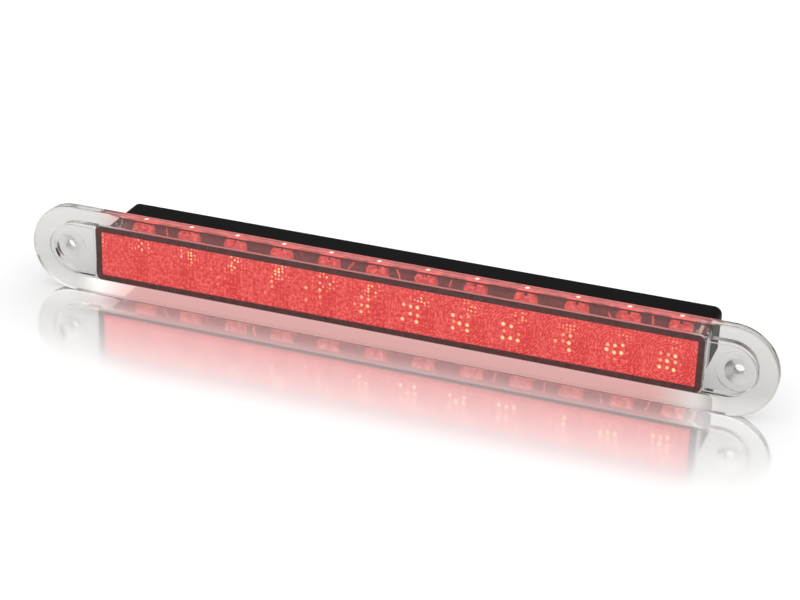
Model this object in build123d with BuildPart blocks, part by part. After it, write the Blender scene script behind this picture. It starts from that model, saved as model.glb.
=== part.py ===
from build123d import *
import os

os.makedirs("parts", exist_ok=True)

# Third brake light for recess mounting, in millimetres.
# X runs along the lamp, +Y goes into the vehicle, +Z is up.
# The origin is the middle of the mounting face, the back of the lens flange.

# Overall sizes
overall_length = 237.0
flange_height = 28.4
flange_thickness = 2.9
housing_back = 23.3

# Row of light-emitting diodes
led_count = 12
led_pitch = 15.75
led_x = [(i - (led_count - 1) / 2) * led_pitch for i in range(led_count)]

# Front window of the lens, with the frame pocket behind its skin
skin = 1.1
rim_fillet = 0.6
pocket_length, pocket_height, pocket_corner = 193.4, 18.5, 2.0
pocket_floor = skin - flange_thickness
pocket_fit = 0.2

# Fixing ends: recess in front, pad behind, countersunk hole
fixing_spacing = 213.2
fixing_radius = 1.65
countersink_radius, countersink_depth = 4.0, 1.35
seat_radius, seat_depth = 6.3, 0.25
recess_length, recess_height, recess_depth = 224.3, 16.1, 1.0
pad_length, pad_height, pad_depth = 224.4, 16.6, 2.2
pocket_wall = 0.3
fixing_inner_x = pocket_length / 2 + pocket_wall

# Window frame and optic strip
frame_length, frame_height, frame_corner = 193.0, 18.1, 1.8
frame_border = 1.8
window_corner = 0.5
frame_thickness = 1.2
frame_back = pocket_floor + frame_thickness
window_length = frame_length - 2 * frame_border
window_height = frame_height - 2 * frame_border
ring_radii = (2.1, 4.0, 5.9)
ring_width = 1.4
ring_height = 0.7

# Clear light box and black housing share one outline
shell_length, shell_height, shell_corner = 192.2, 14.6, 2.6
wall = 1.5
box_end_wall = 3.5
collar_margin = 0.5
box_back = 10.5
tongue_length = 2.0
tongue_inset = 0.75
tongue_fit = 0.05
seal_thickness = 0.8
rebate_back = box_back + tongue_length + seal_thickness
back_wall = 1.6
back_rim_fillet = 0.8
cavity_back = housing_back - back_wall

# Collimators and the carrier that holds them
collimator_width, collimator_height, collimator_corner = 7.1, 11.2, 2.2
collimator_front = 11.6
lobe_notch_width, lobe_notch_depth = 1.1, 1.65
carrier_front = 13.0
carrier_thickness = 1.2
carrier_fit = 0.2
carrier_back = carrier_front + carrier_thickness
collimator_back = 15.3
throat_radius, throat_overlap = 3.3, 0.4
throat_end_radius = 2.4
hood_radius, hood_depth = 1.6, 0.8
leg_x = [step * 2 * led_pitch for step in (-2, -1, 0, 1, 2)]
leg_radius, leg_pin_radius, leg_pin_length = 1.5, 0.75, 1.7

# Circuit board and its screws
board_length, board_height, board_thickness, board_corner = 186.0, 10.8, 1.2, 1.8
hole_clearance = 0.1
board_front = 17.4
board_back = board_front + board_thickness
screw_x = [-5 * led_pitch, -led_pitch, led_pitch, 5 * led_pitch]
screw_radius, screw_head_radius, screw_head_height = 1.0, 1.9, 1.3
screw_head_clearance, screw_tip_depth = 0.3, 0.5
cross_length, cross_width, cross_depth = 2.2, 0.5, 0.6
screw_tip = cavity_back + screw_tip_depth
post_radius = 2.2

# Surface-mount diode package
led_length, led_width, led_front = 3.5, 2.8, 15.5
tab_thickness, tab_length, tab_width, tab_offset = 0.15, 1.2, 2.0, 1.575
dome_radius = 1.2

# Cable inlet and breather in the back wall
inlet_x, inlet_hole_radius, cable_radius = 70.0, 3.5, 2.1
breather_x, breather_radius, breather_hole_radius = -70.0, 3.5, 1.25
breather_thickness = 0.4


def depth(y):
    """Plane at depth y, facing the viewer, so extruding goes towards the front."""
    return Plane.XZ.offset(-y)


def turned_axis(x):
    """Axis along the depth direction through a point of the lamp's middle line."""
    return Axis((x, 0, 0), (0, 1, 0))


# Clear outer lens: flange, front skin, fixing recesses and pads
with BuildPart() as outer_lens:
    with BuildSketch(depth(0)):
        SlotOverall(overall_length, flange_height)
    extrude(amount=flange_thickness)
    front_rim = outer_lens.faces().sort_by(Axis.Y)[0].edges()
    fillet(front_rim, radius=rim_fillet)
    with BuildSketch(depth(pad_depth)):
        SlotOverall(pad_length, pad_height)
        Rectangle(2 * fixing_inner_x, pad_height + 1, mode=Mode.SUBTRACT)
    extrude(amount=pad_depth)
    with BuildSketch(depth(-flange_thickness)):
        SlotOverall(recess_length, recess_height)
        Rectangle(2 * fixing_inner_x, recess_height + 1, mode=Mode.SUBTRACT)
    extrude(amount=-recess_depth, mode=Mode.SUBTRACT)
    with BuildSketch(depth(0)):
        RectangleRounded(pocket_length, pocket_height, pocket_corner)
    extrude(amount=-pocket_floor, mode=Mode.SUBTRACT)
    seat_y = recess_depth - flange_thickness
    countersink_y = seat_y + seat_depth
    bore_y = countersink_y + countersink_depth
    for side in (-1, 1):
        hole_x = side * fixing_spacing / 2
        with BuildSketch(Plane.XY):
            with BuildLine():
                Polyline(
                    (hole_x, seat_y),
                    (hole_x + seat_radius, seat_y),
                    (hole_x + seat_radius, countersink_y),
                    (hole_x + countersink_radius, countersink_y),
                    (hole_x + fixing_radius, bore_y),
                    (hole_x + fixing_radius, pad_depth),
                    (hole_x, pad_depth),
                    close=True,
                )
            make_face()
        revolve(axis=turned_axis(hole_x), mode=Mode.SUBTRACT)
outer_lens.part.label = "outer_lens"
export_step(outer_lens.part, "parts/outer_lens.step")

# Black frame around the lit window
with BuildPart() as bezel_frame:
    with BuildSketch(depth(frame_back)):
        RectangleRounded(frame_length, frame_height, frame_corner)
        RectangleRounded(window_length, window_height, window_corner, mode=Mode.SUBTRACT)
    extrude(amount=frame_thickness)
bezel_frame.part.label = "bezel_frame"
export_step(bezel_frame.part, "parts/bezel_frame.step")

# One set of lens rings, centred on the origin, standing back from the strip
with BuildPart() as ring_set:
    for radius in ring_radii:
        with BuildSketch(Plane.XY):
            with BuildLine():
                Polyline(
                    (radius - ring_width / 2, frame_back),
                    (radius + ring_width / 2, frame_back),
                    (radius - ring_width / 4, frame_back + ring_height),
                    close=True,
                )
            make_face()
        revolve(axis=Axis.Y)

# Clear optic strip with a set of rings in front of each diode
with BuildPart() as optic_strip:
    with BuildSketch(depth(frame_back)):
        RectangleRounded(window_length - pocket_fit, window_height - pocket_fit,
                         window_corner - pocket_fit / 2)
    extrude(amount=frame_thickness)
    with Locations(*[(x, 0, 0) for x in led_x]):
        add(ring_set.part)
optic_strip.part.label = "optic_strip"
export_step(optic_strip.part, "parts/optic_strip.step")

# Clear light box: rim in the lens pocket, collar, walls and tongue
with BuildPart() as light_box:
    with BuildSketch(depth(0)):
        RectangleRounded(pocket_length - pocket_fit, pocket_height - pocket_fit,
                         pocket_corner - pocket_fit / 2)
    extrude(amount=-frame_back)
    with BuildSketch(depth(pad_depth)):
        RectangleRounded(shell_length + 2 * collar_margin, pad_height, shell_corner)
    extrude(amount=pad_depth)
    with BuildSketch(depth(box_back)):
        RectangleRounded(shell_length, shell_height, shell_corner)
    extrude(amount=box_back - pad_depth)
    tongue_outer = 2 * tongue_inset
    with BuildSketch(depth(box_back + tongue_length)):
        RectangleRounded(shell_length - tongue_outer, shell_height - tongue_outer,
                         shell_corner - tongue_inset)
    extrude(amount=tongue_length)
    with BuildSketch(depth(box_back + tongue_length)):
        RectangleRounded(shell_length - 2 * box_end_wall, shell_height - 2 * wall,
                         shell_corner - wall)
    extrude(amount=box_back + tongue_length - frame_back, mode=Mode.SUBTRACT)
    with BuildSketch(depth(pad_depth - wall)):
        RectangleRounded(window_length, pad_height - 2 * wall, wall)
    extrude(amount=pad_depth - wall - frame_back, mode=Mode.SUBTRACT)
light_box.part.label = "light_box"
export_step(light_box.part, "parts/light_box.step")

# Black housing: open front with a rebate for the tongue, posts, inlet and breather seat
with BuildPart() as housing:
    with BuildSketch(depth(housing_back)):
        RectangleRounded(shell_length, shell_height, shell_corner)
    extrude(amount=housing_back - box_back)
    back_rim = housing.faces().sort_by(Axis.Y)[-1].edges()
    fillet(back_rim, radius=back_rim_fillet)
    with BuildSketch(depth(cavity_back)):
        RectangleRounded(shell_length - 2 * wall, shell_height - 2 * wall, shell_corner - wall)
    extrude(amount=cavity_back - box_back, mode=Mode.SUBTRACT)
    rebate_inset = 2 * (tongue_inset - tongue_fit)
    with BuildSketch(depth(rebate_back)):
        RectangleRounded(shell_length - rebate_inset, shell_height - rebate_inset,
                         shell_corner - tongue_inset)
    extrude(amount=rebate_back - box_back, mode=Mode.SUBTRACT)
    with BuildSketch(depth(cavity_back)):
        with Locations(*[(x, 0) for x in screw_x]):
            Circle(post_radius)
    extrude(amount=cavity_back - board_back)
    with BuildSketch(depth(screw_tip)):
        with Locations(*[(x, 0) for x in screw_x]):
            Circle(screw_radius)
    extrude(amount=screw_tip - board_back, mode=Mode.SUBTRACT)
    with BuildSketch(depth(housing_back)):
        with Locations((inlet_x, 0)):
            Circle(inlet_hole_radius)
        with Locations((breather_x, 0)):
            Circle(breather_hole_radius)
    extrude(amount=back_wall, mode=Mode.SUBTRACT)
    with BuildSketch(depth(housing_back)):
        with Locations((breather_x, 0)):
            Circle(breather_radius)
    extrude(amount=breather_thickness, mode=Mode.SUBTRACT)
housing.part.label = "housing"
export_step(housing.part, "parts/housing.step")

# Seal between the tongue and the bottom of the rebate
with BuildPart() as housing_seal:
    with BuildSketch(depth(rebate_back)):
        RectangleRounded(shell_length - tongue_outer, shell_height - tongue_outer,
                         shell_corner - tongue_inset)
        RectangleRounded(shell_length - 2 * wall, shell_height - 2 * wall,
                         shell_corner - wall, mode=Mode.SUBTRACT)
    extrude(amount=rebate_back - box_back - tongue_length)
housing_seal.part.label = "housing_seal"
export_step(housing_seal.part, "parts/housing_seal.step")

# Clear collimators: a block of two lobes on the carrier, and a throat down to each diode
with BuildPart() as collimators:
    with BuildSketch(depth(carrier_front)):
        for x in led_x:
            with Locations((x, 0)):
                RectangleRounded(collimator_width, collimator_height, collimator_corner)
            for side in (-1, 1):
                with Locations((x, side * collimator_height / 2)):
                    Rectangle(lobe_notch_width, 2 * lobe_notch_depth, mode=Mode.SUBTRACT)
    extrude(amount=carrier_front - collimator_front)
    for x in led_x:
        with BuildSketch(Plane.XY):
            with BuildLine():
                Polyline(
                    (x, carrier_front - throat_overlap),
                    (x + throat_radius, carrier_front - throat_overlap),
                    (x + throat_radius, carrier_front),
                    (x + throat_end_radius, collimator_back),
                    (x + hood_radius, collimator_back),
                    (x + hood_radius, collimator_back - hood_depth),
                    (x, collimator_back - hood_depth),
                    close=True,
                )
            make_face()
        revolve(axis=turned_axis(x))
collimators.part.label = "collimators"
export_step(collimators.part, "parts/collimators.step")

# Dark carrier plate behind the collimators, standing on the board on five legs
with BuildPart() as lens_carrier:
    with BuildSketch(depth(carrier_back)):
        RectangleRounded(shell_length - 2 * wall - 2 * carrier_fit,
                         shell_height - 2 * wall - 2 * carrier_fit, shell_corner - wall)
        with Locations(*[(x, 0) for x in led_x]):
            Circle(throat_radius + hole_clearance, mode=Mode.SUBTRACT)
        with Locations(*[(x, 0) for x in screw_x]):
            Circle(screw_head_radius + screw_head_clearance, mode=Mode.SUBTRACT)
    extrude(amount=carrier_thickness)
    with BuildSketch(depth(board_front)):
        with Locations(*[(x, 0) for x in leg_x]):
            Circle(leg_radius)
    extrude(amount=board_front - carrier_back)
    with BuildSketch(depth(board_front + leg_pin_length)):
        with Locations(*[(x, 0) for x in leg_x]):
            Circle(leg_pin_radius)
    extrude(amount=leg_pin_length)
lens_carrier.part.label = "lens_carrier"
export_step(lens_carrier.part, "parts/lens_carrier.step")

# White diode packages, each with a round well in its front
well_depth = 0.8
with BuildPart() as led_bodies:
    with BuildSketch(depth(board_front - tab_thickness)):
        with Locations(*[(x, 0) for x in led_x]):
            Rectangle(led_length, led_width)
    extrude(amount=board_front - tab_thickness - led_front)
    with BuildSketch(depth(led_front)):
        with Locations(*[(x, 0) for x in led_x]):
            Circle(dome_radius)
    extrude(amount=-well_depth, mode=Mode.SUBTRACT)
led_bodies.part.label = "led_bodies"
export_step(led_bodies.part, "parts/led_bodies.step")

# Silicone fill of one well, centred on the origin, with a low dome over it
dome_rise, dome_flat_radius, dome_corner_radius = 0.5, 0.3, 1.1
with BuildPart() as dome:
    with BuildSketch(Plane.XY):
        with BuildLine():
            fill = Polyline(
                (dome_flat_radius, led_front - dome_rise),
                (0, led_front - dome_rise),
                (0, led_front + well_depth),
                (dome_radius, led_front + well_depth),
                (dome_radius, led_front),
            )
            RadiusArc(fill @ 1, fill @ 0, dome_corner_radius)
        make_face()
    revolve(axis=Axis.Y)

# The same fill in every diode package
with BuildPart() as led_domes:
    with Locations(*[(x, 0, 0) for x in led_x]):
        add(dome.part)
led_domes.part.label = "led_domes"
export_step(led_domes.part, "parts/led_domes.step")

# Solder tabs, two under each diode
with BuildPart() as led_tabs:
    with BuildSketch(depth(board_front)):
        with Locations(*[(x + side * tab_offset, 0) for x in led_x for side in (-1, 1)]):
            Rectangle(tab_length, tab_width)
    extrude(amount=tab_thickness)
led_tabs.part.label = "led_tabs"
export_step(led_tabs.part, "parts/led_tabs.step")

# Circuit board, with holes for the screws, the carrier pins and the wire eyelets
eyelet_offset, eyelet_z = 2.5, 3.6
eyelet_x = [inlet_x - eyelet_offset, inlet_x + eyelet_offset]
eyelet_radius, eyelet_wall = 0.9, 0.35
eyelet_lip, eyelet_lip_thickness, eyelet_rise = 0.4, 0.3, 0.6
with BuildPart() as circuit_board:
    with BuildSketch(depth(board_back)):
        RectangleRounded(board_length, board_height, board_corner)
        with Locations(*[(x, 0) for x in screw_x]):
            Circle(screw_radius + hole_clearance, mode=Mode.SUBTRACT)
        with Locations(*[(x, 0) for x in leg_x]):
            Circle(leg_pin_radius + hole_clearance, mode=Mode.SUBTRACT)
        with Locations(*[(x, eyelet_z) for x in eyelet_x]):
            Circle(eyelet_radius, mode=Mode.SUBTRACT)
    extrude(amount=board_thickness)
circuit_board.part.label = "circuit_board"
export_step(circuit_board.part, "parts/circuit_board.step")

# Self-tapping screws that hold the board to the housing posts
with BuildPart() as board_screws:
    with BuildSketch(depth(screw_tip)):
        with Locations(*[(x, 0) for x in screw_x]):
            Circle(screw_radius)
    extrude(amount=screw_tip - board_front)
    with BuildSketch(depth(board_front)):
        with Locations(*[(x, 0) for x in screw_x]):
            Circle(screw_head_radius)
    extrude(amount=screw_head_height)
    head_front = board_front - screw_head_height
    with BuildSketch(depth(head_front)):
        with Locations(*[(x, 0) for x in screw_x]):
            Rectangle(cross_length, cross_width)
            Rectangle(cross_width, cross_length)
    extrude(amount=-cross_depth, mode=Mode.SUBTRACT)
board_screws.part.label = "board_screws"
export_step(board_screws.part, "parts/board_screws.step")

# Parts soldered to the back of the board: name, places along X, length, height, width
chip_chamfer = 0.15
back_parts = (
    ("series_resistors", (-3 * led_pitch, -2.5 * led_pitch, 2.5 * led_pitch, 3 * led_pitch),
     5.0, 0.6, 2.5),
    ("filter_capacitors", (-0.5 * led_pitch, 0.5 * led_pitch), 3.2, 1.8, 2.5),
    ("reverse_diode", (-1.5 * led_pitch,), 4.3, 2.1, 2.6),
    ("surge_suppressor", (-3.5 * led_pitch,), 4.6, 2.3, 3.6),
)
for name, places, length, height, width in back_parts:
    with BuildPart() as chip:
        with BuildSketch(depth(board_back + height)):
            with Locations(*[(x, 0) for x in places]):
                Rectangle(length, width)
        extrude(amount=height)
        chamfer(chip.faces().group_by(Axis.Y)[-1].edges(), length=chip_chamfer)
    chip.part.label = name
    export_step(chip.part, f"parts/{name}.step")

# Current regulator: moulded body, heat tab and two legs
regulator_x = 1.5 * led_pitch
regulator_length, regulator_height, regulator_width = 6.6, 2.3, 6.1
regulator_chamfer = 0.3
lead_thickness, heat_tab_length, heat_tab_z = 0.4, 5.6, 0.7
lead_offset, lead_z, lead_width, lead_length = 2.2, -3.9, 0.8, 2.2
with BuildPart() as regulator_body:
    with BuildSketch(depth(board_back + regulator_height)):
        with Locations((regulator_x, 0)):
            Rectangle(regulator_length, regulator_width)
    extrude(amount=regulator_height - lead_thickness)
    chamfer(regulator_body.faces().sort_by(Axis.Y)[-1].edges(), length=regulator_chamfer)
regulator_body.part.label = "regulator_body"
export_step(regulator_body.part, "parts/regulator_body.step")

with BuildPart() as regulator_leads:
    with BuildSketch(depth(board_back + lead_thickness)):
        with Locations((regulator_x, heat_tab_z)):
            Rectangle(heat_tab_length, regulator_width)
        with Locations(*[(regulator_x + side * lead_offset, lead_z) for side in (-1, 1)]):
            Rectangle(lead_width, lead_length)
    extrude(amount=lead_thickness)
regulator_leads.part.label = "regulator_leads"
export_step(regulator_leads.part, "parts/regulator_leads.step")

# Tinned eyelets for the two supply wires
with BuildPart() as wire_eyelets:
    with BuildSketch(depth(board_back + eyelet_rise)):
        with Locations(*[(x, eyelet_z) for x in eyelet_x]):
            Circle(eyelet_radius)
            Circle(eyelet_radius - eyelet_wall, mode=Mode.SUBTRACT)
    extrude(amount=board_thickness + eyelet_rise)
    with BuildSketch(depth(board_back + eyelet_lip_thickness)):
        with Locations(*[(x, eyelet_z) for x in eyelet_x]):
            Circle(eyelet_radius + eyelet_lip)
            Circle(eyelet_radius - eyelet_wall, mode=Mode.SUBTRACT)
    extrude(amount=eyelet_lip_thickness)
wire_eyelets.part.label = "wire_eyelets"
export_step(wire_eyelets.part, "parts/wire_eyelets.step")

# Rubber grommet in the back wall: a waist, a flange on each side and the cable bore
grommet_flange, grommet_flange_edge, grommet_flange_width = 1.2, 0.6, 1.4
grommet_inside, grommet_inside_width = 0.9, 0.7
grommet_collar = 1.0
with BuildPart() as cable_grommet:
    with BuildSketch(Plane.XY):
        with BuildLine():
            Polyline(
                (inlet_x + cable_radius, cavity_back - grommet_inside),
                (inlet_x + inlet_hole_radius + grommet_inside_width, cavity_back - grommet_inside),
                (inlet_x + inlet_hole_radius + grommet_inside_width, cavity_back),
                (inlet_x + inlet_hole_radius, cavity_back),
                (inlet_x + inlet_hole_radius, housing_back),
                (inlet_x + inlet_hole_radius + grommet_flange_width, housing_back),
                (inlet_x + inlet_hole_radius + grommet_flange_width, housing_back + grommet_flange_edge),
                (inlet_x + cable_radius + grommet_collar, housing_back + grommet_flange),
                (inlet_x + cable_radius, housing_back + grommet_flange),
                close=True,
            )
        make_face()
    revolve(axis=turned_axis(inlet_x))
cable_grommet.part.label = "cable_grommet"
export_step(cable_grommet.part, "parts/cable_grommet.step")

# Breather membrane let into the back wall
with BuildPart() as breather_membrane:
    with BuildSketch(depth(housing_back)):
        with Locations((breather_x, 0)):
            Circle(breather_radius)
    extrude(amount=breather_thickness)
breather_membrane.part.label = "breather_membrane"
export_step(breather_membrane.part, "parts/breather_membrane.step")
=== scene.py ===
import math

import bpy
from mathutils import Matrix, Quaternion, Vector


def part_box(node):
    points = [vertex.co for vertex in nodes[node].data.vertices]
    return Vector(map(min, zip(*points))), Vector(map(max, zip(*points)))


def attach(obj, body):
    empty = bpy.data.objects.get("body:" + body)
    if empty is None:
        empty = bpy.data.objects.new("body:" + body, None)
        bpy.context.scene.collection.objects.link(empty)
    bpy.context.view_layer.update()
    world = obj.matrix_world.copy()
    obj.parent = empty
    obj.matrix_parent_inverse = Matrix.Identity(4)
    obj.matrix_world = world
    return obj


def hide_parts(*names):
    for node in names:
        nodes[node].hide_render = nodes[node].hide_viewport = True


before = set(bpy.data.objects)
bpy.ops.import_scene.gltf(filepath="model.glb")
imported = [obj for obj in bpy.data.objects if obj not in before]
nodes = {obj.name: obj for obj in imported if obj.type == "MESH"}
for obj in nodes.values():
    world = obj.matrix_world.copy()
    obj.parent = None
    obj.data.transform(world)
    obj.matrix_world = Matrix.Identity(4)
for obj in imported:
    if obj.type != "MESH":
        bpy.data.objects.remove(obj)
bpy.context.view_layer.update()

MM = 0.001

# Optics, in millimetres: seven square pillows to each diode, one of them centred on it in X,
# and fine rings round it. The painted glints that image the diodes repeat at pitches of their own.
LED_PITCH = 15.75
PILLOW = LED_PITCH / 7
PILLOW_SHIFT_X, PILLOW_SHIFT_Z = PILLOW / 2, -0.8
RING_STEP = 0.86
GLINT_PITCH, GLINT_SHIFT, GLINT_Y = 15.3, 5.15, -1.7
FAN_PITCH, FAN_SHIFT, FAN_Z = 15.35, 3.6, 4.6
GRID_Z, GRID_REACH = -0.8, 3.9
DRIFT_SLOPE, DRIFT_MIDDLE = -0.0053, 0.15

# Places on the clear flange: countersinks, and the edges of the painted glow
HOLE_X, HOLE_REACH = 106.6, 4.6
FRONT_Y, BEHIND_FRONT_Y = -2.85, -2.6
RIM_Z, MARGIN_Z = 14.0, -8.85

WINDOW_LOW, WINDOW_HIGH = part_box("optic_strip")
FLOOR_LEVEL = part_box("outer_lens")[0].z
STRIP_DEPTH = 1.2
PILLOW_RISE, RING_RISE = 0.22, 0.25


# Camera, at the lamp's right and a little above it, almost level

def make_camera():
    data = bpy.data.cameras.new("camera")
    data.sensor_width = 36.0
    data.lens = 96.0
    data.clip_start = 0.01
    camera = bpy.data.objects.new("camera", data)
    bpy.context.scene.collection.objects.link(camera)
    camera.location = (0.1971, -0.5403, 0.2764)
    aim = Vector((0.0031, 0.0017, 0.0010))
    level = (aim - camera.location).to_track_quat("-Z", "Y")
    roll = Quaternion((0, 0, 1), math.radians(1.75))
    camera.rotation_euler = (level @ roll).to_euler()
    bpy.context.scene.camera = camera


# Materials: a small arithmetic on shader values, so that a pattern reads as a formula

class Value:
    """A number in a material, built up from Math nodes by ordinary arithmetic."""

    def __init__(self, tree, socket):
        self.tree = tree
        self.socket = socket

    def math(self, operation, *others):
        node = self.tree.nodes.new("ShaderNodeMath")
        node.operation = operation
        for slot, item in enumerate((self, *others)):
            if isinstance(item, Value):
                self.tree.links.new(item.socket, node.inputs[slot])
            else:
                node.inputs[slot].default_value = item
        return Value(self.tree, node.outputs[0])

    def __add__(self, other):
        return self.math("ADD", other)

    def __sub__(self, other):
        return self.math("SUBTRACT", other)

    def __mul__(self, other):
        return self.math("MULTIPLY", other)

    def __truediv__(self, other):
        return self.math("DIVIDE", other)

    def floor(self):
        return self.math("FLOOR")

    def fraction(self):
        return self.math("FRACT")

    def size(self):
        return self.math("ABSOLUTE")

    def sine(self):
        return self.math("SINE")

    def root(self):
        return self.math("SQRT")

    def bell(self, width):
        """1 at zero, falling smoothly away over that width."""
        scaled = self / width
        return (scaled * scaled * -1.0).math("EXPONENT")

    def ramp(self, low, high):
        """0 below low and 1 above high, smooth between."""
        node = self.tree.nodes.new("ShaderNodeMapRange")
        node.interpolation_type = "SMOOTHSTEP"
        self.tree.links.new(self.socket, node.inputs["Value"])
        node.inputs["From Min"].default_value = low
        node.inputs["From Max"].default_value = high
        return Value(self.tree, node.outputs[0])


class Finish:
    """A material with one Principled shader, and the place of a point in millimetres."""

    def __init__(self, name, colour, roughness, **sockets):
        self.material = bpy.data.materials.new(name)
        self.material.use_nodes = True
        self.tree = self.material.node_tree
        self.shader = self.tree.nodes["Principled BSDF"]
        self.shader.inputs["Base Color"].default_value = (*colour, 1)
        self.shader.inputs["Roughness"].default_value = roughness
        for socket, value in sockets.items():
            self.shader.inputs[socket.replace("_", " ")].default_value = value
        place = self.tree.nodes.new("ShaderNodeTexCoord")
        split = self.tree.nodes.new("ShaderNodeSeparateXYZ")
        self.place = place.outputs["Object"]
        self.tree.links.new(self.place, split.inputs[0])
        self.x, self.y, self.z = (Value(self.tree, out) / MM for out in split.outputs)

    def noise(self, size, detail=3.0, stretch=(1, 1, 1)):
        """Noise from 0 to 1, with features about that many millimetres across."""
        mapping = self.tree.nodes.new("ShaderNodeMapping")
        mapping.inputs["Scale"].default_value = [s / (size * MM) for s in stretch]
        self.tree.links.new(self.place, mapping.inputs["Vector"])
        node = self.tree.nodes.new("ShaderNodeTexNoise")
        node.inputs["Scale"].default_value = 1.0
        node.inputs["Detail"].default_value = detail
        self.tree.links.new(mapping.outputs[0], node.inputs["Vector"])
        return Value(self.tree, node.outputs["Fac"])

    def chance(self, column, row):
        """A fixed random number from 0 to 1 for each cell of a grid."""
        join = self.tree.nodes.new("ShaderNodeCombineXYZ")
        self.tree.links.new(column.socket, join.inputs[0])
        self.tree.links.new(row.socket, join.inputs[1])
        node = self.tree.nodes.new("ShaderNodeTexWhiteNoise")
        node.noise_dimensions = "2D"
        self.tree.links.new(join.outputs[0], node.inputs["Vector"])
        return Value(self.tree, node.outputs["Value"])

    def blend(self, amount, low, high):
        """A colour between two, by an amount from 0 to 1."""
        node = self.tree.nodes.new("ShaderNodeMix")
        node.data_type = "RGBA"
        self.tree.links.new(amount.socket, node.inputs["Factor"])
        for socket, colour in (("A", low), ("B", high)):
            end = [s for s in node.inputs if s.name == socket and s.type == "RGBA"][0]
            if isinstance(colour, bpy.types.NodeSocket):
                self.tree.links.new(colour, end)
            else:
                end.default_value = (*colour, 1)
        return [s for s in node.outputs if s.type == "RGBA"][0]

    def drive(self, socket, value):
        out = value.socket if isinstance(value, Value) else value
        self.tree.links.new(out, self.shader.inputs[socket])

    def bump(self, height, depth, strength=1.0):
        """Fine relief of that depth in millimetres."""
        node = self.tree.nodes.new("ShaderNodeBump")
        node.inputs["Strength"].default_value = strength
        node.inputs["Distance"].default_value = depth * MM
        self.tree.links.new(height.socket, node.inputs["Height"])
        self.tree.links.new(node.outputs[0], self.shader.inputs["Normal"])

    def from_diode(self, shift=0.0, pitch=LED_PITCH):
        """Distance along X from the nearest diode, or from its image in a row of that pitch."""
        return (((self.x - shift) / pitch).fraction() - 0.5) * pitch


def clear_plastic(name, tint):
    """Polished clear plastic, very slightly uneven."""
    finish = Finish(name, tint, 0.03, IOR=1.49, Transmission_Weight=1.0)
    finish.bump(finish.noise(14.0, 2.0), 0.05, 0.35)
    return finish


def glowing_flange():
    """Clear flange that carries red light in its rim, with an image of each diode there: a glow and
    glints painted on as emission.
    """
    finish = clear_plastic("clear_flange", (0.68, 0.67, 0.65))
    # Painted light: a red glow in the rim, and a painted glint at each diode's image, as emission
    along = finish.x.ramp(-98.0, -83.0) * finish.x.ramp(104.0, 92.0)
    front = finish.y.ramp(BEHIND_FRONT_Y, FRONT_Y)
    rim = finish.z.ramp(RIM_Z - 0.7, RIM_Z)
    image = finish.from_diode(GLINT_SHIFT, GLINT_PITCH)
    diode_glint = image.bell(0.6) * (finish.y - GLINT_Y).bell(0.6) * rim
    # Painted light: a pink glow on the lower margin and on the lower tips, whiter towards the ends
    margin = finish.z.ramp(MARGIN_Z + 0.25, MARGIN_Z) * front
    end = finish.x.size().ramp(80.0, 99.0)
    patch = finish.noise(3.0, 3.0) * 1.4 + 0.3
    tip = finish.x.size().ramp(94.0, 104.0)
    lower_glow = margin * finish.x.size().ramp(104.0, 94.0) * 0.64
    lower_glow = lower_glow + tip * finish.z.ramp(-4.0, -14.0) * front * 0.24
    finish.drive("Emission Strength", (rim * patch * 0.40 + diode_glint * 1.1) * along + lower_glow)
    scattered = finish.blend(end, (1.0, 0.55, 0.53), (1.0, 0.98, 0.95))
    pink = finish.blend(finish.z.ramp(0.0, -4.0), (1.0, 0.19, 0.18), scattered)
    finish.drive("Emission Color", finish.blend(diode_glint.ramp(0.05, 0.6), pink, (1.0, 0.80, 0.62)))
    # The countersinks are frosted
    hole_x = finish.x.size() - HOLE_X
    hole = (hole_x * hole_x + finish.z * finish.z).root()
    finish.drive("Roughness", hole.ramp(HOLE_REACH, HOLE_REACH - 0.4) * 0.3 + 0.03)
    # Painted light: the plastic above the window is itself filled with red light, painted into its
    # base colour as a red tint
    red_light_tint = finish.z.ramp(8.5, 9.5) * finish.x.ramp(-97.0, -80.0) * finish.x.ramp(99.0, 90.0)
    finish.drive("Base Color", finish.blend(red_light_tint, (0.68, 0.67, 0.65), (0.66, 0.21, 0.20)))
    return finish.material


def images(finish, pitch, radius, scatter):
    """Soft round spots for painted images of the diodes, one near the middle of each pillow, and a
    random number for each.
    """
    u = (finish.x - PILLOW_SHIFT_X) / pitch + 0.5
    w = (finish.z - PILLOW_SHIFT_Z) / pitch + 0.5
    chance = finish.chance(u.floor(), w.floor())
    drift = finish.x * DRIFT_SLOPE + DRIFT_MIDDLE
    off_x = (u.fraction() - 0.5) * pitch - drift + (chance - 0.5) * scatter
    off_z = (w.fraction() - 0.5) * pitch + ((chance * 7.0).fraction() - 0.5) * scatter
    spot = (off_x * off_x + off_z * off_z).root().ramp(radius, radius * 0.2)
    return spot, chance


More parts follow.
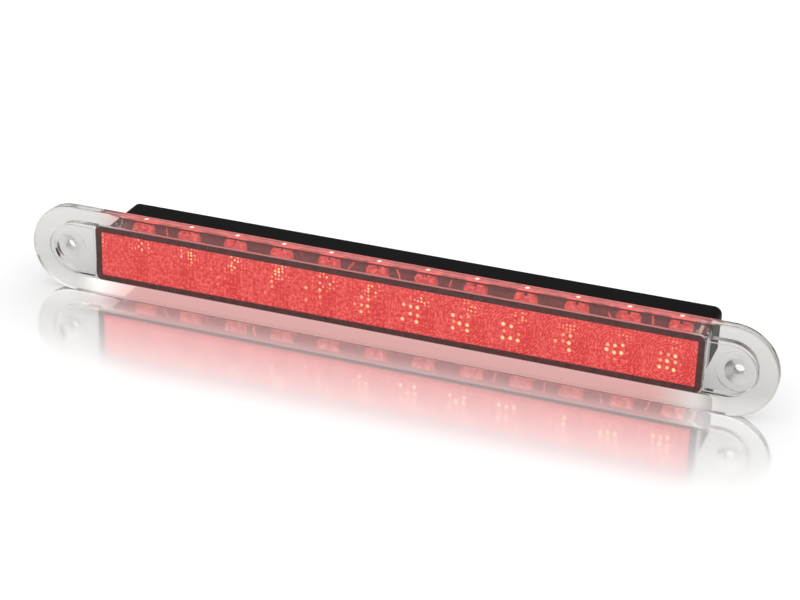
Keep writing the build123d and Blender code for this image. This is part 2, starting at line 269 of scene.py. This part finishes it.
def lit_optic():
    """Ribbed red-lit strip: images of the diodes in its pillows, rings and mottling, all painted on as
    emission.
    """
    finish = Finish("lit_optic", (0.25, 0.012, 0.012), 0.25, IOR=1.49, Specular_IOR_Level=0.1)
    side = finish.from_diode()
    big, big_chance = images(finish, PILLOW, 0.9, 0.7)
    small, small_chance = images(finish, PILLOW / 2, 0.55, 0.5)

    # Painted glints: sharp images in the three by three pillows in front of each diode, strongest to
    # the right
    inner = GRID_REACH - 0.7
    grid = side.size().ramp(GRID_REACH, inner) * (finish.z - GRID_Z).size().ramp(GRID_REACH, inner)
    across = finish.x.ramp(-85.0, 45.0) * 0.85 + 0.15
    sharp = big * grid * across * (big_chance.ramp(-0.1, 0.9) * 0.85 + 0.1)
    # Painted glints: a fan of smaller ones above and to the right of each diode, strongest left of the
    # middle
    fan = finish.from_diode(FAN_SHIFT, FAN_PITCH).bell(3.2) * (finish.z - FAN_Z).bell(2.6)
    upper = (finish.x + 45.0).bell(60.0) * 0.7 + 0.5
    loose = small * fan * upper * small_chance.ramp(0.3, 0.7)
    sparkle = sharp + loose
    # Painted glints: small images of the diodes in half-size pillows all over the strip
    small_glints = small * small_chance.ramp(0.2, 0.9) * 0.55

    # Painted light: rings round each diode, fine mottling, and the slow light and dark of each cell,
    # in the strip's glow
    radius = (side * side + finish.z * finish.z).root()
    wobble = finish.noise(1.6, 3.0)
    ring_wave = (radius * (2 * math.pi / RING_STEP) + wobble * 4.0).sine()
    rings = ring_wave * radius.ramp(2.0, 4.5) * (finish.x.ramp(-60.0, 50.0) * 0.22 + 0.06)
    mottle = (finish.noise(0.9, 3.0) - 0.5) * 3.2 + (wobble - 0.5) * 1.2
    dark = (side - 5.2).bell(2.6) * (finish.z + 1.5).bell(4.0) * 0.30
    light = (side + 6.4).bell(3.4) * (finish.z + 4.6).bell(2.8) * 0.22
    level = rings + mottle + light - dark + small_glints + 0.25
    red = finish.blend(level.ramp(-0.3, 1.3), (0.68, 0.0, 0.0), (1.0, 0.12, 0.11))
    finish.drive("Emission Color", finish.blend(sparkle.ramp(0.05, 0.7), red, (1.0, 0.55, 0.25)))
    finish.drive("Emission Strength", sparkle * 0.9 + 1.3)
    return finish.material


def black_plastic(name, level, roughness, grain, shine):
    """Black moulded plastic with a fine spark-eroded grain."""
    finish = Finish(name, (level, level, level), roughness, IOR=1.45, Specular_IOR_Level=shine)
    cloud = finish.noise(6.0, 3.0)
    tone = finish.blend(cloud, (level * 0.8,) * 3, (level * 1.25,) * 3)
    finish.drive("Base Color", tone)
    finish.drive("Roughness", cloud * 0.12 + (roughness - 0.06))
    finish.bump(finish.noise(grain, 2.0), 0.02, 0.5)
    return finish.material


def glowing_collimator():
    """Clear blocks over the diodes, filled with uneven pink light that is painted on as emission."""
    finish = Finish("glowing_collimator", (0.60, 0.12, 0.12), 0.3, IOR=1.58, Specular_IOR_Level=0.1)
    side = finish.from_diode()
    lobe = (side.size() - 1.9).bell(1.4)
    patch = finish.noise(1.3, 3.0) - 0.5
    arcs = ((side * side + finish.z * finish.z).root() * 5.0 + patch * 8.0).sine() * 0.14
    level = patch * 3.4 + lobe * 0.3 + arcs + 0.30
    glow = finish.blend(level.ramp(-0.1, 1.1), (0.55, 0.02, 0.02), (1.0, 0.52, 0.48))
    finish.drive("Emission Color", glow)
    finish.drive("Emission Strength", level * 0.5 + 0.75)
    return finish.material


def dark_carrier():
    """Dark plate that picks up a little red, with a few bright curved reflections; the red and the
    reflections are painted light, as emission.
    """
    finish = Finish("dark_carrier", (0.012, 0.004, 0.004), 0.5, IOR=1.45, Specular_IOR_Level=0.03)
    # Painted reflections: bright curved streaks, over a faint painted red glow
    bend = finish.noise(9.0, 1.0) * 9.0 + finish.x
    painted_reflection = ((bend / 8.0).fraction() - 0.5).bell(0.04) * finish.noise(12.0, 0.0).ramp(0.42, 0.52)
    cloud = finish.noise(3.0, 2.0)
    finish.drive("Emission Strength", cloud * 0.14 + painted_reflection * 1.6)
    finish.drive("Emission Color", finish.blend(painted_reflection, (1.0, 0.16, 0.16), (1.0, 0.50, 0.46)))
    finish.bump(finish.noise(0.3, 2.0), 0.02, 0.4)
    return finish.material


def lit_bezel():
    """Black plastic frame with a little red light scattered over it, painted on as emission."""
    finish = Finish("bezel_black", (0.008, 0.006, 0.006), 0.5, IOR=1.45, Specular_IOR_Level=0.05)
    finish.drive("Emission Strength", finish.noise(2.0, 3.0) * 0.16)
    finish.shader.inputs["Emission Color"].default_value = (1.0, 0.20, 0.18, 1)
    finish.bump(finish.noise(0.25, 2.0), 0.02, 0.5)
    return finish.material


def speckled(name, low, high, roughness, size, **sockets):
    """A plain moulded or plated finish with a little variation in tone and gloss."""
    finish = Finish(name, low, roughness, **sockets)
    cloud = finish.noise(size, 4.0)
    finish.drive("Base Color", finish.blend(cloud, low, high))
    finish.drive("Roughness", cloud * 0.2 + (roughness - 0.1))
    finish.bump(finish.noise(size / 6, 2.0), 0.01, 0.4)
    return finish.material


def lit_silicone():
    finish = Finish("lit_silicone", (0.8, 0.1, 0.08), 0.15, IOR=1.41)
    finish.shader.inputs["Emission Color"].default_value = (1.0, 0.2, 0.12, 1)
    middle = finish.from_diode() * finish.from_diode() + finish.z * finish.z
    finish.drive("Emission Strength", middle.root().ramp(1.2, 0.2) * 6.0 + 2.0)
    return finish.material


def board_mask():
    """White solder mask with faint copper tracks under it."""
    finish = Finish("board_mask", (0.8, 0.8, 0.78), 0.35, IOR=1.5)
    track = ((finish.z / 2.7).fraction() - 0.5).size().ramp(0.18, 0.22)
    finish.drive("Base Color", finish.blend(track, (0.68, 0.70, 0.66), (0.80, 0.81, 0.79)))
    finish.bump(track, 0.04, 0.6)
    return finish.material


# Stage: pale floor, mirror-like close to the lamp and plain further away

def make_floor():
    half = 3.0
    mesh = bpy.data.meshes.new("floor")
    outline = ((-half, -half), (half, -half), (half, half), (-half, half))
    mesh.from_pydata([(x, y, FLOOR_LEVEL) for x, y in outline], [], [(0, 1, 2, 3)])
    floor = bpy.data.objects.new("floor", mesh)
    bpy.context.scene.collection.objects.link(floor)
    finish = Finish("floor_gloss", (0.93, 0.93, 0.93), 0.12, IOR=1.5)
    off_x = (finish.x.size() - 100.0).math("MAXIMUM", 0.0)
    off_y = (finish.y.size() - 4.0).math("MAXIMUM", 0.0)
    away = (off_x * off_x + off_y * off_y).root()
    finish.drive("Metallic", away.ramp(75.0, 0.0) * 0.62)
    finish.drive("Roughness", away.ramp(0.0, 70.0) * 0.22 + 0.05)
    # Painted shade: a soft contact shadow under the lit part of the lamp, tinted pink as painted red
    # light from the lamp
    shade = away.ramp(16.0, 0.0) * finish.x.size().ramp(106.0, 86.0)
    finish.drive("Base Color", finish.blend(shade, (0.93, 0.93, 0.93), (0.48, 0.36, 0.36)))
    mesh.materials.append(finish.material)


def make_light():
    world = bpy.data.worlds.new("studio")
    bpy.context.scene.world = world
    world.use_nodes = True
    tree = world.node_tree
    background = tree.nodes["Background"]
    place = tree.nodes.new("ShaderNodeTexCoord")
    split = tree.nodes.new("ShaderNodeSeparateXYZ")
    ramp = tree.nodes.new("ShaderNodeValToRGB")
    ramp.color_ramp.elements[0].position = 0.0
    ramp.color_ramp.elements[0].color = (0.35, 0.35, 0.35, 1)
    ramp.color_ramp.elements[1].position = 0.75
    ramp.color_ramp.elements[1].color = (1.0, 1.0, 1.0, 1)
    tree.links.new(place.outputs["Generated"], split.inputs[0])
    tree.links.new(split.outputs[2], ramp.inputs[0])
    tree.links.new(ramp.outputs[0], background.inputs["Color"])
    background.inputs["Strength"].default_value = 1.15
    data = bpy.data.lights.new("softbox", "AREA")
    data.shape = "RECTANGLE"
    data.size, data.size_y = 1.6, 1.2
    data.energy = 9.0
    light = bpy.data.objects.new("softbox", data)
    bpy.context.scene.collection.objects.link(light)
    light.location = (0.1, -0.3, 1.5)
    light.rotation_euler = (Vector((0, 0, 0)) - light.location).to_track_quat("-Z", "Y").to_euler()


# The lit strip: square pillows in front, stepped rings behind

def make_lit_strip(material):
    low, high = WINDOW_LOW, WINDOW_HIGH
    front, depth = low.y, STRIP_DEPTH * MM
    columns, rows = 760, 58
    pillow_rise, ring_rise = PILLOW_RISE * MM, RING_RISE * MM
    vertices = []
    for back in (False, True):
        for row in range(rows + 1):
            z = low.z + (high.z - low.z) * row / rows
            for column in range(columns + 1):
                x = low.x + (high.x - low.x) * column / columns
                if back:
                    side = ((x / (LED_PITCH * MM)) % 1 - 0.5) * LED_PITCH * MM
                    ring = (math.hypot(side, z) / (RING_STEP * MM)) % 1
                    y = front + depth - ring_rise * ring
                else:
                    u = ((x / MM - PILLOW_SHIFT_X) / PILLOW + 0.5) % 1 * 2 - 1
                    w = ((z / MM - PILLOW_SHIFT_Z) / PILLOW + 0.5) % 1 * 2 - 1
                    y = front + pillow_rise * (u * u + w * w) / 2
                vertices.append((x, y, z))
    width = columns + 1
    sheet = width * (rows + 1)
    faces = []
    for row in range(rows):
        for column in range(columns):
            a = row * width + column
            faces.append((a, a + 1, a + 1 + width, a + width))
            faces.append((a + sheet, a + sheet + width, a + sheet + width + 1, a + sheet + 1))
    for row in range(rows):
        for a, flip in ((row * width, False), (row * width + columns, True)):
            edge = (a, a + width, a + width + sheet, a + sheet)
            faces.append(edge[::-1] if flip else edge)
    for column in range(columns):
        for a, flip in ((column, True), (rows * width + column, False)):
            edge = (a, a + 1, a + 1 + sheet, a + sheet)
            faces.append(edge[::-1] if flip else edge)
    mesh = bpy.data.meshes.new("lit_strip")
    mesh.from_pydata(vertices, [], faces)
    mesh.materials.append(material)
    mesh.polygons.foreach_set("use_smooth", [True] * len(mesh.polygons))
    strip = bpy.data.objects.new("lit_strip", mesh)
    bpy.context.scene.collection.objects.link(strip)
    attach(strip, "root")
    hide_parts("optic_strip")


def paint(node, material):
    mesh = nodes[node].data
    mesh.materials.clear()
    mesh.materials.append(material)


def paint_nodes():
    paint("outer_lens", glowing_flange())
    paint("light_box", clear_plastic("clear_box", (0.93, 0.92, 0.92)).material)
    paint("bezel_frame", lit_bezel())
    paint("housing", black_plastic("housing_black", 0.002, 0.45, 0.35, 0.025))
    paint("collimators", glowing_collimator())
    paint("lens_carrier", dark_carrier())
    rubber = speckled("black_rubber", (0.015, 0.015, 0.015), (0.03, 0.03, 0.03), 0.7, 2.0)
    paint("housing_seal", rubber)
    paint("cable_grommet", rubber)
    paint("led_bodies", speckled("white_package", (0.75, 0.74, 0.7), (0.85, 0.84, 0.8), 0.45, 0.8))
    paint("led_domes", lit_silicone())
    tin = speckled("tinned_copper", (0.62, 0.62, 0.62), (0.78, 0.78, 0.78), 0.3, 0.6, Metallic=1.0)
    for node in ("led_tabs", "regulator_leads", "wire_eyelets"):
        paint(node, tin)
    paint("circuit_board", board_mask())
    steel = speckled("screw_steel", (0.5, 0.5, 0.52), (0.65, 0.65, 0.66), 0.28, 0.7, Metallic=1.0)
    paint("board_screws", steel)
    epoxy = speckled("chip_epoxy", (0.02, 0.02, 0.022), (0.04, 0.04, 0.042), 0.5, 0.5)
    for node in ("reverse_diode", "surge_suppressor", "regulator_body", "series_resistors"):
        paint(node, epoxy)
    paint("filter_capacitors", speckled("tan_ceramic", (0.4, 0.27, 0.16), (0.5, 0.36, 0.22), 0.5, 0.8))
    paint("breather_membrane", speckled("membrane", (0.7, 0.7, 0.68), (0.85, 0.85, 0.83), 0.9, 0.3))


make_camera()
make_floor()
make_light()
make_lit_strip(lit_optic())
paint_nodes()

bpy.context.scene.view_settings.view_transform = "Standard"
